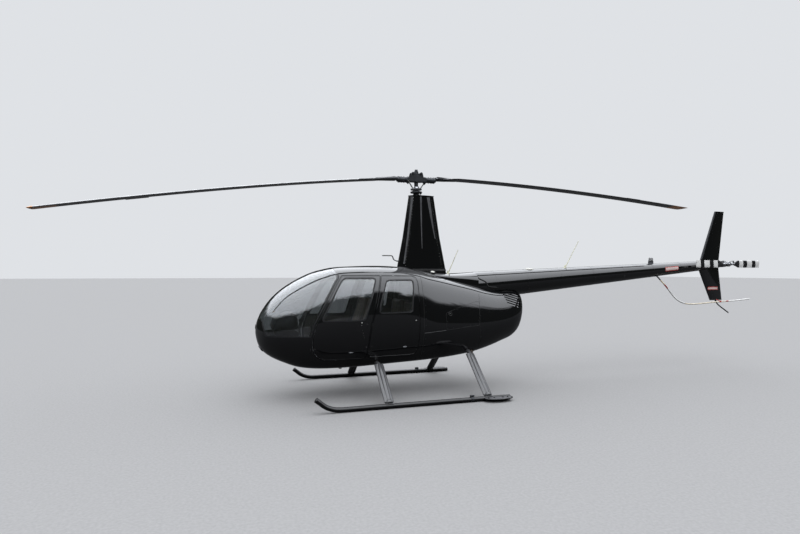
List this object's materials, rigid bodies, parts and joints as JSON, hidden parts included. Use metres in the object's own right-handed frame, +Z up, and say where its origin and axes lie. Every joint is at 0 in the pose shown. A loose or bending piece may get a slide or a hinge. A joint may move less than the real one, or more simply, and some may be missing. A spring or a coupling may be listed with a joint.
{
  "type": "light helicopter",
  "caption": "Light four-seat piston helicopter on skids: egg-shaped cabin, tall faired mast, teetering main rotor, slim tail cone, tail rotor on the left, hinged cabin doors.",
  "frame": {"origin": "ground level under the middle of the overall length, rotors parked fore and aft; the mast axis stands 0.8 m ahead of it", "axes": "+X forward to the nose, +Y to the left side, which carries the tail rotor, +Z up"},
  "size_m": [11.66, 2.504, 3.2682],
  "materials": {
    "black_paint": "high gloss",
    "blade_grey": "satin",
    "bare_metal": "satin",
    "dark_metal": "satin",
    "clear_glass": "polished",
    "leather": "matte",
    "carpet": "matte",
    "panel_grey": "matte",
    "off_white": "satin"
  },
  "bodies": {
    "airframe": {"lower_hull": "black_paint", "cabin_frame": "black_paint", "engine_cowl": "black_paint", "spine_fairing": "black_paint", "mast_fairing": "black_paint", "windshield_left": "clear_glass", "windshield_right": "clear_glass", "firewall": "panel_grey", "cabin_floor": "carpet", "front_seat_left": "leather", "front_seat_right": "leather", "rear_seat_left": "leather", "rear_seat_right": "leather", "instrument_console": "panel_grey", "cyclic_stick": "dark_metal", "engine_block": "dark_metal", "exhaust_pipe": "bare_metal", "fan_shroud": "dark_metal", "tail_cone": "black_paint", "upper_fin": "black_paint", "lower_fin": "black_paint", "horizontal_stabilizer": "black_paint", "tail_gearbox": "dark_metal", "tail_rotor_guard": "off_white", "tail_skid": "dark_metal", "mast_tube": "dark_metal", "skid_left": "black_paint", "skid_right": "black_paint", "front_cross_tube": "black_paint", "rear_cross_tube": "black_paint", "whip_antenna_front": "off_white", "whip_antenna_rear": "off_white", "strobe_light": "dark_metal"},
    "main_rotor": {"main_rotor_hub": "dark_metal", "main_blade_front": "blade_grey", "main_blade_rear": "blade_grey"},
    "tail_rotor": {"tail_rotor_hub": "bare_metal", "tail_blade_front": "off_white", "tail_blade_rear": "off_white"},
    "fan": {"cooling_fan": "bare_metal"},
    "left_front_door": {"front_door_left": "black_paint", "front_window_left": "clear_glass"},
    "right_front_door": {"front_door_right": "black_paint", "front_window_right": "clear_glass"},
    "left_rear_door": {"rear_door_left": "black_paint", "rear_window_left": "clear_glass"},
    "right_rear_door": {"rear_door_right": "black_paint", "rear_window_right": "clear_glass"}
  },
  "joints": [
    {"name": "main_rotor_spin", "type": "hinge", "parent": "airframe", "child": "main_rotor", "pos_m": [0.8, 0, 3.138], "axis": [0, 0, 1], "continuous": true},
    {"name": "tail_rotor_spin", "type": "hinge", "parent": "airframe", "child": "tail_rotor", "pos_m": [-5.093, 0.225, 1.874], "axis": [0, 1, 0], "continuous": true},
    {"name": "cooling_fan_spin", "type": "hinge", "parent": "airframe", "child": "fan", "pos_m": [-0.7, 0, 1.075], "axis": [1, 0, 0], "continuous": true},
    {"name": "left_front_door_swing", "type": "hinge", "parent": "airframe", "child": "left_front_door", "pos_m": [2.438, 0.596, 0.76], "axis": [0, 0.0599, -0.9982], "range_deg": [0, 75]},
    {"name": "right_front_door_swing", "type": "hinge", "parent": "airframe", "child": "right_front_door", "pos_m": [2.438, -0.596, 0.76], "axis": [0, 0.0599, 0.9982], "range_deg": [0, 75]},
    {"name": "left_rear_door_swing", "type": "hinge", "parent": "airframe", "child": "left_rear_door", "pos_m": [1.697, 0.637, 0.8], "axis": [0, 0.0995, -0.995], "range_deg": [0, 75]},
    {"name": "right_rear_door_swing", "type": "hinge", "parent": "airframe", "child": "right_rear_door", "pos_m": [1.697, -0.637, 0.8], "axis": [0, 0.0995, 0.995], "range_deg": [0, 75]}
  ],
  "couplings": [
    {"joint": "tail_rotor_spin", "follows": "main_rotor_spin", "ratio": -5.949}
  ]
}
